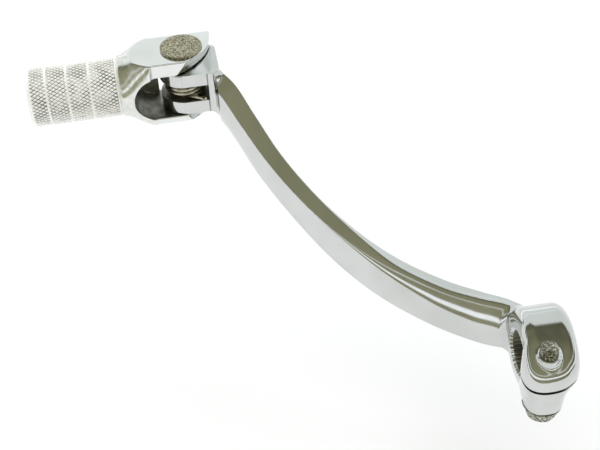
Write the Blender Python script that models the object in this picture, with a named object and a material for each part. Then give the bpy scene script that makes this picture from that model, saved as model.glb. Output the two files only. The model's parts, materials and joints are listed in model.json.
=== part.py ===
"""Folding-tip gear shift lever for a motorcycle.

The frame: the origin is on the spindle bore's axis, level with the pinch bolt. +X points forward, from the
spindle to the tip, +Y points outward along the bore, and +Z is up, along the pinch bolt and the fold pin.
The lever is five pieces: the forged arm, the folding toe piece, its pivot pin, its return spring and the
pinch bolt. Lengths are in metres.
"""

from math import cos, pi, radians, sin, sqrt

import bmesh
import bpy
from mathutils import Matrix, Vector

MM = 0.001
GAP = 0.3 * MM
CLEAR = 22 * MM  # how far a cutter reaches, past anything that it cuts

# Hub, turned about the bore's axis.
BORE_R = 6.0 * MM
TOOTH_DEPTH = 0.5 * MM
TOOTH_COUNT = 36
HUB_R = 12.1 * MM
HUB_OUTER_Y = 4.8 * MM
HUB_INNER_Y = -9.0 * MM
COLLAR_R = 9.0 * MM
INNER_ROUND = 3.0 * MM
OUTER_ROUND = (3.6 * MM, 3.1 * MM)
SLIT_WIDTH = 1.0 * MM
SLIT_TOP_Z = 0.37 * MM
SLIT_BACK_X = -4.0 * MM
MOUTH_STEP = 0.2 * MM

# Clamp boss round the pinch bolt.
BOLT_X = -9.6 * MM
BOSS_BACK = 4.2 * MM
LUG_BOTTOM_Z = -9.8 * MM
SPOT_FACE_Z = 9.2 * MM
SPOT_FACE_R = 3.6 * MM

# Levels of the boss, in mm: height, then its reach forward, outward and inward from the bolt's axis.
BOSS_LEVELS = (
    (-10.4, 5.3, 5.3, 5.3),
    (-4.0, 5.5, 5.6, 5.7),
    (-1.6, 5.6, 6.1, 6.6),
    (0.0, 5.6, 6.4, 7.5),
    (4.0, 5.6, 6.4, 7.5),
    (7.0, 5.1, 6.0, 7.1),
    (8.6, 4.5, 5.3, 6.2),
    (9.6, 4.0, 4.6, 5.0),
)

# Pinch bolt.
BOLT_R = 2.75 * MM
BOLT_TOP_Z = 12.2 * MM
FLANGE_R = 5.4 * MM
FLANGE_THICKNESS = 1.1 * MM
HEX_ACROSS_FLATS = 8.0 * MM
HEX_HEIGHT = 3.4 * MM
HEX_CHAMFER = 0.5 * MM

# Fold pivot, at the tip end of the arm.
PIVOT = Vector((86.5, 82.0, 41.6)) * MM
PIN_R = 3.9 * MM
PIN_HEAD_R = 6.05 * MM
PIN_HEAD_THICKNESS = 0.7 * MM
PEENED_R = 5.0 * MM

# Arm's fork, which stands inside the toe piece's slot. Both are centred a little below the pivot's middle.
FORK = PIVOT - Vector((0, 0, 1.2)) * MM
EYE_R = 7.1 * MM
EYE_HALF_HEIGHT = 6.7 * MM
EYE_BACK_Y = -9.4 * MM
SHOULDER_X = 9.6 * MM
WINDOW_HALF_HEIGHT = 2.65 * MM
WINDOW_BACK_Y = -6.35 * MM

# Toe piece, measured from the pivot along +Y.
HEAD_HALF_WIDTH = 7.1 * MM
HEAD_HALF_HEIGHT = 10.4 * MM
HEAD_END_Y = 9.8 * MM
EAR_BACK_Y = -8.8 * MM
EAR_NEAR_Y = -0.9 * MM
EAR_BEND_X = -1.6 * MM
EAR_BULGE = 0.5 * MM
EAR_UNDERCUT = 0.8
SLOT_HALF_HEIGHT = 7.1 * MM
SLOT_ROUND_Y = 8.0 * MM
SLOT_FLOOR_X = 5.2 * MM
SLOT_THROUGH_Y = 7.6 * MM
NECK_Y = 18.8 * MM
PEG_START_Y = 19.2 * MM
PEG_END_Y = 44.8 * MM
PEG_R = 8.55 * MM
PEG_CHAMFER = 1.2 * MM
GROOVE_YS = (26.9 * MM, 33.3 * MM, 39.2 * MM)
GROOVE_WIDTH = 0.9 * MM
GROOVE_DEPTH = 0.5 * MM

# Levels of the cone between head and peg, in mm: distance along +Y, half width, half height and squareness.
CONE_LEVELS = (
    (7.8, 7.0, 10.3, 5.0),
    (9.8, 7.0, 10.3, 5.0),
    (11.4, 7.9, 10.3, 3.6),
    (14.4, 8.4, 10.2, 2.5),
    (17.0, 8.7, 9.2, 2.1),
    (18.6, 8.7, 8.8, 2.0),
)

# Return spring round the pin.
SPRING_R = 5.3 * MM
WIRE_R = 0.65 * MM
COIL_PITCH = 1.5 * MM
COIL_TURNS = 2.5
LEG_START_Y = 1.0 * MM
LEG_END_Y = 13.0 * MM

# The arm follows a plane that rises forward at ARM_SLOPE.
ARM_SLOPE = radians(30.9)

# Stations along the arm, in mm: distance along the slope, distance outward, drop below a plane through the
# bore's axis, width and thickness. The first two are inside the hub and the last is inside the fork.
ARM_STATIONS = (
    (4.0, -5.5, 5.4, 9.0, 7.2),
    (6.4, -1.4, 7.2, 12.8, 9.6),
    (9.6, 5.4, 8.6, 15.6, 11.6),
    (13.0, 12.6, 8.8, 15.8, 11.6),
    (18.7, 22.5, 8.8, 14.9, 11.2),
    (27.6, 34.4, 8.8, 13.2, 10.8),
    (38.5, 44.8, 8.8, 11.3, 10.2),
    (51.0, 53.7, 8.8, 9.8, 9.6),
    (64.5, 61.4, 8.8, 9.2, 9.6),
    (77.6, 67.3, 7.8, 8.8, 10.6),
    (85.5, 71.4, 6.2, 9.2, 12.2),
    (90.5, 75.0, 5.6, 9.0, 11.6),
)
ARM_STEPS = 3
ARM_SIDES = 20
ROUND_SIDES = 48


def clear_scene():
    """Remove every object that the scene starts with."""
    for item in list(bpy.data.objects):
        bpy.data.objects.remove(item, do_unlink=True)


def make_material(name, colour, roughness, metallic):
    """A Principled BSDF with one colour."""
    material = bpy.data.materials.new(name)
    material.use_nodes = True
    shader = material.node_tree.nodes["Principled BSDF"]
    shader.inputs["Base Color"].default_value = (*colour, 1.0)
    shader.inputs["Roughness"].default_value = roughness
    shader.inputs["Metallic"].default_value = metallic
    return material


def object_from_bmesh(name, shape):
    """Turn a bmesh into an object with outward faces."""
    bmesh.ops.remove_doubles(shape, verts=shape.verts, dist=1e-7)
    bmesh.ops.recalc_face_normals(shape, faces=shape.faces)
    mesh = bpy.data.meshes.new(name)
    shape.to_mesh(mesh)
    shape.free()
    item = bpy.data.objects.new(name, mesh)
    bpy.context.scene.collection.objects.link(item)
    return item


def loft(name, rings):
    """Bridge closed rings of equally many points with triangles and cap both ends."""
    shape = bmesh.new()
    rows = [[shape.verts.new(point) for point in ring] for ring in rings]
    count = len(rows[0])
    for low, high in zip(rows, rows[1:]):
        for i in range(count):
            j = (i + 1) % count
            shape.faces.new((low[i], low[j], high[j]))
            shape.faces.new((low[i], high[j], high[i]))
    shape.faces.new(rows[0])
    shape.faces.new(rows[-1])
    return object_from_bmesh(name, shape)


def circle(radius, sides=ROUND_SIDES, phase=0.0):
    """Points of a circle as (u, v) pairs."""
    return [(radius * cos(phase + 2 * pi * i / sides), radius * sin(phase + 2 * pi * i / sides))
            for i in range(sides)]


def turned(name, profile, centre, sides=ROUND_SIDES):
    """A solid turned about a line along Y, from (y, radius) pairs."""
    rings = [[centre + Vector((u, y, v)) for u, v in circle(radius, sides)] for y, radius in profile]
    return loft(name, rings)


def turned_z(name, profile, centre, sides=ROUND_SIDES):
    """A solid turned about a line along Z, from (z, radius) pairs."""
    rings = [[centre + Vector((u, v, z)) for u, v in circle(radius, sides)] for z, radius in profile]
    return loft(name, rings)


def prism_z(name, outline, centre, low, high):
    """Extrude an outline of (x, y) pairs along Z."""
    rings = [[centre + Vector((x, y, z)) for x, y in outline] for z in (low, high)]
    return loft(name, rings)


def prism_x(name, outline, centre, low, high):
    """Extrude an outline of (y, z) pairs along X."""
    rings = [[centre + Vector((x, y, z)) for y, z in outline] for x in (low, high)]
    return loft(name, rings)


def box(name, low, high):
    """A box between two corners."""
    outline = [(low[0], low[1]), (high[0], low[1]), (high[0], high[1]), (low[0], high[1])]
    return prism_z(name, outline, Vector((0, 0, 0)), low[2], high[2])


def combine(body, tool, operation):
    """Join a tool to a body or cut it away, and keep the body alone."""
    modifier = body.modifiers.new(operation, "BOOLEAN")
    modifier.operation = operation
    modifier.solver = "EXACT"
    modifier.object = tool
    evaluated = body.evaluated_get(bpy.context.evaluated_depsgraph_get())
    mesh = bpy.data.meshes.new_from_object(evaluated)
    body.modifiers.clear()
    body.data = mesh
    bpy.data.objects.remove(tool, do_unlink=True)


def finish(item, material, origin=None):
    """Give an object its material and smooth shading, and put its origin on a joint's axis."""
    item.data.materials.clear()
    item.data.materials.append(material)
    item.data.shade_smooth()
    item.data.set_sharp_from_angle(angle=radians(30))
    if origin is not None:
        item.data.transform(Matrix.Translation(-origin))
        item.location = origin


def superellipse(half_x, half_y, power, sides):
    """Points of a rounded box; a power of 2 gives an ellipse."""
    points = []
    for i in range(sides):
        angle = 2 * pi * i / sides
        c, s = cos(angle), sin(angle)
        scale = (abs(c) ** power + abs(s) ** power) ** (-1 / power)
        points.append((half_x * c * scale, half_y * s * scale))
    return points


def catmull_rom(rows, steps):
    """Read a smooth curve through rows of numbers, steps points to each span."""
    padded = [rows[0], *rows, rows[-1]]
    result = []
    for a, b, c, d in zip(padded, padded[1:], padded[2:], padded[3:]):
        for i in range(steps):
            t = i / steps
            result.append(tuple(
                q + 0.5 * t * (r - p + t * (2 * p - 5 * q + 4 * r - s + t * (3 * (q - r) + s - p)))
                for p, q, r, s in zip(a, b, c, d)))
    result.append(rows[-1])
    return result


def arm_bar():
    """The curved bar of the arm, from inside the hub to inside the fork."""
    along = Vector((cos(ARM_SLOPE), 0, sin(ARM_SLOPE)))
    outward = Vector((0, 1, 0))
    up = Vector((-sin(ARM_SLOPE), 0, cos(ARM_SLOPE)))
    stations = [[value * MM for value in row] for row in catmull_rom(ARM_STATIONS, ARM_STEPS)]
    rings = []
    for i, (s, y, drop, width, thickness) in enumerate(stations):
        before = stations[max(i - 1, 0)]
        after = stations[min(i + 1, len(stations) - 1)]
        tangent = (along * (after[0] - before[0]) + outward * (after[1] - before[1])).normalized()
        side = up.cross(tangent)
        centre = along * s + outward * y - up * drop
        section = superellipse(width / 2, thickness / 2, 2.8, ARM_SIDES)
        rings.append([centre + side * u + up * v for u, v in section])
    return loft("arm_bar", rings)


def quarter_round(y, toward, length, depth, steps=6):
    """(y, radius) pairs of the elliptical round at an end of the hub, from the face outward."""
    pairs = []
    for i in range(steps + 1):
        angle = pi / 2 * i / steps
        pairs.append((y + toward * length * (1 - cos(angle)), HUB_R - depth * (1 - sin(angle))))
    return pairs


def hub_body():
    """The barrel of the hub, rounded at both ends."""
    inner = quarter_round(HUB_INNER_Y, 1, INNER_ROUND, INNER_ROUND)
    outer = quarter_round(HUB_OUTER_Y, -1, *OUTER_ROUND)
    return turned("lever_arm", inner + outer[::-1], Vector((0, 0, 0)))


def boss_section(z, front, outer, inner, sides=36):
    """One level outline of the clamp boss: an uneven oval about the bolt, reaching back into the hub."""
    points = []
    for u, v in superellipse(1.0, 1.0, 2.5, sides):
        x = u * (front if u < 0 else BOSS_BACK)
        y = v * (outer if v > 0 else inner)
        points.append(Vector((BOLT_X + x, y, z)))
    return points


def clamp_boss():
    """The boss that the pinch bolt runs through, from the lower lug's seat to the upper lug's crown."""
    return loft("boss", [boss_section(*[value * MM for value in level]) for level in BOSS_LEVELS])


def bore_cutter():
    """The serrated bore: a row of teeth round the hub's axis."""
    outline = []
    for i in range(TOOTH_COUNT):
        for fraction, radius in ((0.0, BORE_R), (0.5, BORE_R + TOOTH_DEPTH)):
            angle = 2 * pi * (i + fraction) / TOOTH_COUNT
            outline.append((radius * cos(angle), radius * sin(angle)))
    rings = [[Vector((u, y, v)) for u, v in outline] for y in (HUB_INNER_Y - MM, HUB_OUTER_Y + MM)]
    return loft("bore_cutter", rings)


def hub_cutters():
    """Everything that is machined out of the hub."""
    origin = Vector((0, 0, 0))
    bolt_axis = Vector((BOLT_X, 0, 0))
    mouth_r = BORE_R + TOOTH_DEPTH + MOUTH_STEP
    seat_r = FLANGE_R + 2 * GAP
    return (
        turned_z("seat", ((-CLEAR, seat_r), (LUG_BOTTOM_Z, seat_r)), bolt_axis),
        turned_z("spot", ((SPOT_FACE_Z, SPOT_FACE_R), (CLEAR, SPOT_FACE_R)), bolt_axis),
        turned_z("bolt_hole", ((-CLEAR, BOLT_R + GAP), (CLEAR, BOLT_R + GAP)), bolt_axis, 32),
        bore_cutter(),
        turned("mouth", ((HUB_OUTER_Y - GAP, mouth_r), (CLEAR, mouth_r)), origin),
        box("slit", (-CLEAR, -CLEAR, SLIT_TOP_Z - SLIT_WIDTH), (SLIT_BACK_X, CLEAR, SLIT_TOP_Z)),
    )


def fork_body():
    """The round-ended block at the arm's tip, with a shoulder at its back that the arm runs into."""
    back = [
        (EYE_R, EYE_BACK_Y),
        (-SHOULDER_X, EYE_BACK_Y - 0.4 * MM),
        (-SHOULDER_X, EYE_BACK_Y + 1.3 * MM),
        (-SHOULDER_X + 1.1 * MM, EYE_BACK_Y + 1.8 * MM),
        (-EYE_R - 0.5 * MM, EYE_BACK_Y + 2.3 * MM),
        (-EYE_R, EYE_BACK_Y + 3.1 * MM),
    ]
    front = [(EYE_R * cos(pi - pi * i / 24), EYE_R * sin(pi - pi * i / 24)) for i in range(25)]
    return prism_z("fork", back + front, FORK, -EYE_HALF_HEIGHT, EYE_HALF_HEIGHT)


def fork_cutters():
    """The pin's hole and the spring's window."""
    window_low = FORK + Vector((-CLEAR, WINDOW_BACK_Y, -WINDOW_HALF_HEIGHT))
    window_high = FORK + Vector((CLEAR, CLEAR, WINDOW_HALF_HEIGHT))
    hole_r = PIN_R + GAP
    return (
        box("window", window_low, window_high),
        turned_z("pin_hole", ((-CLEAR, hole_r), (CLEAR, hole_r)), PIVOT),
    )


def ear_clearance():
    """The swept space of the toe piece's ears, above and below the fork, cleared out of the arm."""
    swing = Vector((HEAD_HALF_WIDTH, EAR_BACK_Y)).length + GAP
    return (
        turned_z("over", ((EYE_HALF_HEIGHT, swing), (CLEAR, swing)), FORK),
        turned_z("under", ((-CLEAR, swing), (-EYE_HALF_HEIGHT, swing)), FORK),
    )


def make_lever_arm(material):
    """The forged arm: hub, bar and fork in one solid."""
    arm = hub_body()
    bar = arm_bar()
    for cutter in ear_clearance():
        combine(bar, cutter, "DIFFERENCE")
    combine(arm, clamp_boss(), "UNION")
    combine(arm, bar, "UNION")
    combine(arm, fork_body(), "UNION")
    for cutter in (*hub_cutters(), *fork_cutters()):
        combine(arm, cutter, "DIFFERENCE")
    arm.name = "lever_arm"
    finish(arm, material)
    return arm


def peg_profile():
    """(y, radius) pairs of the grooved peg, from the neck to the chamfered end."""
    profile = [(NECK_Y, PEG_R - GROOVE_DEPTH), (PEG_START_Y, PEG_R)]
    for y in GROOVE_YS:
        half = GROOVE_WIDTH / 2
        profile += [(y - half, PEG_R), (y - half / 3, PEG_R - GROOVE_DEPTH)]
        profile += [(y + half / 3, PEG_R - GROOVE_DEPTH), (y + half, PEG_R)]
    profile += [(PEG_END_Y - PEG_CHAMFER, PEG_R), (PEG_END_Y, PEG_R - PEG_CHAMFER)]
    return profile


def toe_peg():
    """The cone that grows out of the head, and the peg."""
    rings = []
    for y, half_x, half_z, power in CONE_LEVELS:
        section = superellipse(half_x * MM, half_z * MM, power, ROUND_SIDES)
        rings.append([PIVOT + Vector((u, y * MM, v)) for u, v in section])
    for y, radius in peg_profile():
        rings.append([PIVOT + Vector((u, y, v)) for u, v in circle(radius)])
    return loft("toe_peg", rings)


def ear_outline(z, steps=12):
    """The head's outline at one height. The ears' curved end is cut back below the top at its near side."""
    start = Vector((-HEAD_HALF_WIDTH, EAR_NEAR_Y))
    bend = Vector((EAR_BEND_X, EAR_BACK_Y - EAR_BULGE))
    end = Vector((HEAD_HALF_WIDTH, EAR_BACK_Y))
    undercut = EAR_UNDERCUT * (HEAD_HALF_HEIGHT - abs(z))
    outline = [(HEAD_HALF_WIDTH, HEAD_END_Y), (-HEAD_HALF_WIDTH, HEAD_END_Y)]
    for i in range(steps + 1):
        t = i / steps
        point = start * (1 - t) ** 2 + bend * (2 * t * (1 - t)) + end * t ** 2
        near = 0.5 - point.x / (2 * HEAD_HALF_WIDTH)
        outline.append((point.x, point.y + undercut * near))
    return outline


def head_block():
    """The block head with its two ears in one piece, before the slot parts them."""
    rings = []
    for z in (-HEAD_HALF_HEIGHT, 0, HEAD_HALF_HEIGHT):
        rings.append([PIVOT + Vector((x, y, z)) for x, y in ear_outline(z)])
    return loft("toe_piece", rings)


def slot_cutters():
    """The slot for the arm's fork: blind and round-ended past the fork, and open at both sides along it."""
    outline = [(-CLEAR, SLOT_HALF_HEIGHT), (-CLEAR, -SLOT_HALF_HEIGHT)]
    for i in range(25):
        angle = -pi / 2 + pi * i / 24
        outline.append((SLOT_ROUND_Y + SLOT_HALF_HEIGHT * cos(angle), SLOT_HALF_HEIGHT * sin(angle)))
    low = FORK + Vector((-CLEAR, -CLEAR, -SLOT_HALF_HEIGHT))
    high = FORK + Vector((CLEAR, SLOT_THROUGH_Y, SLOT_HALF_HEIGHT))
    return prism_x("blind_slot", outline, FORK, -CLEAR, SLOT_FLOOR_X), box("through_slot", low, high)


def make_toe_piece(material):
    """The folding tip: block head with two ears, cone and grooved peg."""
    toe = head_block()
    hole_r = PIN_R + GAP
    pin_hole = turned_z("hole", ((-CLEAR, hole_r), (CLEAR, hole_r)), PIVOT)
    combine(toe, toe_peg(), "UNION")
    for cutter in (*slot_cutters(), pin_hole, leg_pocket()):
        combine(toe, cutter, "DIFFERENCE")
    toe.name = "toe_piece"
    finish(toe, material, PIVOT)
    return toe


def make_pivot_pin(material):
    """The rivet: shank, wide head above the upper ear, peened end below the lower ear."""
    seat = HEAD_HALF_HEIGHT + GAP
    top = seat + PIN_HEAD_THICKNESS
    profile = (
        (-top, PEENED_R - 0.4 * MM),
        (-top + 0.4 * MM, PEENED_R),
        (-seat, PEENED_R),
        (-seat, PIN_R),
        (seat, PIN_R),
        (seat, PIN_HEAD_R),
        (top - 0.3 * MM, PIN_HEAD_R),
        (top, PIN_HEAD_R - 0.4 * MM),
    )
    pin = turned_z("pivot_pin", profile, PIVOT, 40)
    finish(pin, material, PIVOT)
    return pin


def leg_route():
    """Where the spring's upper leg runs: off the top coil and straight into the toe piece."""
    top = COIL_PITCH * COIL_TURNS / 2
    return [FORK + Vector((SPRING_R, y, top)) for y in (LEG_START_Y, LEG_END_Y)]


def leg_pocket():
    """The hole in the toe piece that the spring's upper leg stands in."""
    end = leg_route()[-1]
    hole_r = WIRE_R + GAP
    length = end.y - (PIVOT.y + SLOT_THROUGH_Y - GAP)
    return turned("pocket", ((-length, hole_r), (GAP, hole_r)), end, 12)


def spring_route():
    """The wire's centre line: lower leg, coils, upper leg."""
    half_height = COIL_PITCH * COIL_TURNS / 2
    steps = int(COIL_TURNS * 20)
    coil = []
    for i in range(steps + 1):
        angle = pi + 2 * pi * COIL_TURNS * i / steps
        z = -half_height + 2 * half_height * i / steps
        coil.append(FORK + Vector((SPRING_R * cos(angle), SPRING_R * sin(angle), z)))
    return coil + leg_route()


def make_return_spring(material):
    """The torsion spring, drawn as a tube along its wire."""
    route = spring_route()
    curve = bpy.data.curves.new("return_spring", "CURVE")
    curve.dimensions = "3D"
    curve.bevel_depth = WIRE_R
    curve.bevel_resolution = 2
    curve.use_fill_caps = True
    spline = curve.splines.new("POLY")
    spline.points.add(len(route) - 1)
    for point, place in zip(spline.points, route):
        point.co = (*(place - PIVOT), 1.0)
    spring = bpy.data.objects.new("return_spring", curve)
    spring.location = PIVOT
    bpy.context.scene.collection.objects.link(spring)
    curve.materials.append(material)
    return spring


def hexagon(across_flats):
    """Points of a hexagon's outline on a ring of equally many sides as the bolt's shank."""
    points = []
    for i in range(ROUND_SIDES):
        angle = 2 * pi * i / ROUND_SIDES
        from_flat = (angle % (pi / 3)) - pi / 6
        radius = min(across_flats / 2 / cos(from_flat), across_flats / sqrt(3) - 0.05 * MM)
        points.append((radius * cos(angle), radius * sin(angle)))
    return points


def make_pinch_bolt(material):
    """The flange bolt: chamfered hexagon head, flange, shank and chamfered thread end."""
    axis = Vector((BOLT_X, 0, 0))
    seat = LUG_BOTTOM_Z - GAP
    hex_top = seat - FLANGE_THICKNESS
    rings = []
    hex_low = hex_top - HEX_HEIGHT
    for z, across in ((hex_low, HEX_ACROSS_FLATS - 2 * HEX_CHAMFER),
                      (hex_low + HEX_CHAMFER, HEX_ACROSS_FLATS),
                      (hex_top, HEX_ACROSS_FLATS)):
        rings.append([axis + Vector((u, v, z)) for u, v in hexagon(across)])
    for z, radius in ((hex_top, FLANGE_R), (seat, FLANGE_R), (seat, BOLT_R),
                      (BOLT_TOP_Z - 0.6 * MM, BOLT_R), (BOLT_TOP_Z, BOLT_R - 0.5 * MM)):
        rings.append([axis + Vector((u, v, z)) for u, v in circle(radius)])
    bolt = loft("pinch_bolt", rings)
    finish(bolt, material)
    return bolt


def main():
    """Build the five pieces."""
    clear_scene()
    polished = make_material("polished_aluminium", (0.82, 0.83, 0.82), 0.08, 1.0)
    knurled = make_material("bright_aluminium", (0.80, 0.80, 0.79), 0.22, 1.0)
    rivet_steel = make_material("rivet_steel", (0.36, 0.33, 0.28), 0.55, 1.0)
    spring_steel = make_material("spring_steel", (0.40, 0.36, 0.30), 0.30, 1.0)
    bolt_steel = make_material("bolt_steel", (0.32, 0.31, 0.28), 0.45, 1.0)
    make_lever_arm(polished)
    make_toe_piece(knurled)
    make_pivot_pin(rivet_steel)
    make_return_spring(spring_steel)
    make_pinch_bolt(bolt_steel)


main()
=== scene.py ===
import json
from math import ceil, cos, pi, radians, sin, tan

import bmesh
import bpy
import numpy as np
from mathutils import Matrix, Vector


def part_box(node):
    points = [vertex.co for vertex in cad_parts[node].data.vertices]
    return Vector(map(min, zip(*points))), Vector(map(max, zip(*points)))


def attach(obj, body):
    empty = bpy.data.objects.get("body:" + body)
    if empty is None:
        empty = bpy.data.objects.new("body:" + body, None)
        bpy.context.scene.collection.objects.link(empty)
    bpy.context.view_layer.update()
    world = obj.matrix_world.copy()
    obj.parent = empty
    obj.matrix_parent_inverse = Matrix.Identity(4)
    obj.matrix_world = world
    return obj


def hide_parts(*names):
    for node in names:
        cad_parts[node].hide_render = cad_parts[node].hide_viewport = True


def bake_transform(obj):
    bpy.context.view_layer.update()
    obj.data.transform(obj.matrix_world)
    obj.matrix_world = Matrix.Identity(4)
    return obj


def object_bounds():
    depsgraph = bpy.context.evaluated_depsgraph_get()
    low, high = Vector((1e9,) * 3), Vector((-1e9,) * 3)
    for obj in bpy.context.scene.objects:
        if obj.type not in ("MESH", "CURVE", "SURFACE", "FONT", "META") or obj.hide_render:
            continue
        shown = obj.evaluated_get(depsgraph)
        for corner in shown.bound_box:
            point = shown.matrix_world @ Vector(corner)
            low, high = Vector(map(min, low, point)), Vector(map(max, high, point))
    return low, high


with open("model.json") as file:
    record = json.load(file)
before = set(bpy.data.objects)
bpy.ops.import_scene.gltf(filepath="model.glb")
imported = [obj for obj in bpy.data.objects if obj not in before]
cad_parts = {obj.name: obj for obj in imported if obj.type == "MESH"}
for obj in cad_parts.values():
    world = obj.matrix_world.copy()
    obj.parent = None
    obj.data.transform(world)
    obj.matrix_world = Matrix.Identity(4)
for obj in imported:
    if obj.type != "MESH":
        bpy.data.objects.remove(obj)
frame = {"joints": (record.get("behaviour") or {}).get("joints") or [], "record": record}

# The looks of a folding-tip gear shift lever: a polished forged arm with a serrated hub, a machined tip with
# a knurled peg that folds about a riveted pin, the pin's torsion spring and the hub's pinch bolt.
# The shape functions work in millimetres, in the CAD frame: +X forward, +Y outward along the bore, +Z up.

MM = 0.001
CAD_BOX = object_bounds()


def record_mount(name):
    """A mount's point in millimetres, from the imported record."""
    for mount in frame["record"]["mounts"]:
        if mount["name"] == name:
            return np.array(mount["pos_m"]) / MM
    raise KeyError(name)


def node_box(name):
    """A CAD node's lowest and highest corner in millimetres."""
    low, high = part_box(name)
    return np.array(low) / MM, np.array(high) / MM


PIVOT = np.array(frame["joints"][0]["pos_m"]) / MM
BOLT_LOW, BOLT_HIGH = node_box("pinch_bolt")
BOLT_X = (BOLT_LOW[0] + BOLT_HIGH[0]) / 2
PIN_LOW, PIN_HIGH = node_box("pivot_pin")
TOE_HIGH = node_box("toe_piece")[1]

# Edges and fillets.
ROUND_EDGE = 1.0
FINE_EDGE = 0.3
BOSS_FILLET = 2.0
CROWN_EDGE = 1.8
SPOT_FILLET = 0.8
ARM_FILLET = 2.2
SHARP_ANGLE = radians(35)
LEVER_VOXEL = 0.42
HEAD_VOXEL = 0.3
TOUCH = 0.01

# Hub.
HUB_R = 12.1
HUB_OUTER_Y = record_mount("hub_outer_face")[1]
HUB_INNER_Y = record_mount("hub_inner_face")[1]
HUB_OUTER_ROUND = 3.2
HUB_INNER_ROUND = 3.1
BORE_R = 6.0
TOOTH_DEPTH = 0.5
TOOTH_COUNT = 36
# How far into the bore from its outer face the polish stays, before the inside's painted shade begins.
BRIGHT_DEPTH = 1.6
SLIT_TOP_Z = 0.37
SLIT_WIDTH = 1.0

# Clamp boss, by level: z, reach toward the front, outward and inward from the bolt's axis.
BOSS_LEVELS = (
    (-9.8, 5.25, 5.25, 5.25),
    (-5.0, 5.4, 5.5, 5.6),
    (-1.5, 5.6, 6.1, 6.6),
    (0.5, 5.6, 6.4, 7.5),
    (4.0, 5.6, 6.4, 7.6),
    (9.2, 5.5, 6.2, 7.4),
)
BOSS_BACK = 6.0
BOSS_POWER = 2.4
LUG_BOTTOM_Z = -9.8
SPOT_FACE_Z = 9.2
SPOT_FACE_R = 2.9
SPOT_COLLAR_R = 3.2
COLLAR_BOTTOM_Z = 2.0
CROWN_Z = 9.0
CROWN_TILT = radians(25)
CROWN_ROUND = 4.2
CROWN_DOME = 0.005

# Fork and slot, measured from their own middle.
FORK = PIVOT - (0, 0, 1.2)
EYE_R = 7.1
EYE_HALF_HEIGHT = 6.7
EYE_BACK_Y = -9.4
BLOCK_BACK_Y = EYE_BACK_Y - 0.6
BLOCK_FRONT_Y = 1.0
BLOCK_CORNER = 1.6
BLOCK_EDGE = 0.4
SHOULDER_X = 9.7
MILL_R = 3.0
MILL_END_Y = -8.6
WINDOW_HALF_HEIGHT = 2.65
WINDOW_BACK_Y = -6.35

# Toe piece, measured from the pivot.
HEAD_HALF_WIDTH = 7.1
HEAD_HALF_HEIGHT = 10.4
HEAD_END_Y = 9.8
NOSE_START_Y = HEAD_END_Y + 0.9
SLOT_HALF_HEIGHT = 7.1
SLOT_ROUND_Y = 8.0
SLOT_FLOOR_X = 5.2
SLOT_THROUGH_Y = 7.6
EAR_START = (-7.1, -0.9)
EAR_BEND = (-1.6, -9.3)
EAR_END = (7.1, -8.8)
EAR_UNDERCUT = 0.8
NECK_Y = 18.8
NECK_EDGE = 0.5
FACE_EDGE = 0.25
SLOT_EDGE = 0.35
HOLE_EDGE = 0.2
PEG_START_Y = 19.2
PEG_END_Y = TOE_HIGH[1] - PIVOT[1]
PEG_R = 8.55
PEG_CHAMFER = 1.2
GROOVE_YS = (26.9, 33.3, 39.2)
GROOVE_WIDTH = 0.3
GROOVE_DEPTH = 0.4
GROOVE_SLOPE = 1.4

# How far along the peg the knurl takes to reach its depth: at a groove, at the neck and at the end.
GROOVE_FADE = 0.15
START_FADE = 0.35
END_FADE = 0.3

# The nose, by distance from the pivot: half width, half height before it is milled, and squareness.
NOSE_LEVELS = (
    (9.8, 8.0, 12.8, 5.0),
    (11.4, 8.1, 12.0, 3.8),
    (14.4, 8.4, 10.7, 2.6),
    (17.0, 8.6, 9.3, 2.1),
    (19.2, 8.6, 8.7, 2.0),
)

# Knurl: how many grooves go each way round, their pitch along the peg, and the grid's steps to a groove.
KNURL_STARTS = 48
KNURL_PITCH = 1.8
KNURL_STEPS = 8
KNURL_DEPTH = 0.30
KNURL_FLAT = 0.6

# Pin, spring and bolt.
PIN_R = 3.9
PIN_HOLE_R = PIN_R + 0.3
PIN_HEAD_R = (PIN_HIGH[0] - PIN_LOW[0]) / 2
SPRING_R = 5.3
SPRING_TURNS = 3.0
SPRING_PITCH = 1.3
WIRE_R = 0.6
BOLT_R = 2.45
FLANGE_R = (BOLT_HIGH[0] - BOLT_LOW[0]) / 2
THREAD_PITCH = 1.0
THREAD_DEPTH = 0.45
THREAD_START_Z = 2.0
END_CHAMFER = 0.7

# The arm follows a plane that rises forward at ARM_SLOPE.
ARM_SLOPE = radians(30.9)
ARM_ALONG = np.array((cos(ARM_SLOPE), 0, sin(ARM_SLOPE)))
ARM_OUTWARD = np.array((0, 1, 0))
ARM_UP = np.array((-sin(ARM_SLOPE), 0, cos(ARM_SLOPE)))
FACE_LEAN = radians(8)
RIM_LEAN = radians(40)
UNDER_BEVEL = 0.45
SIDE_ROUND = 0.38

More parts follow.
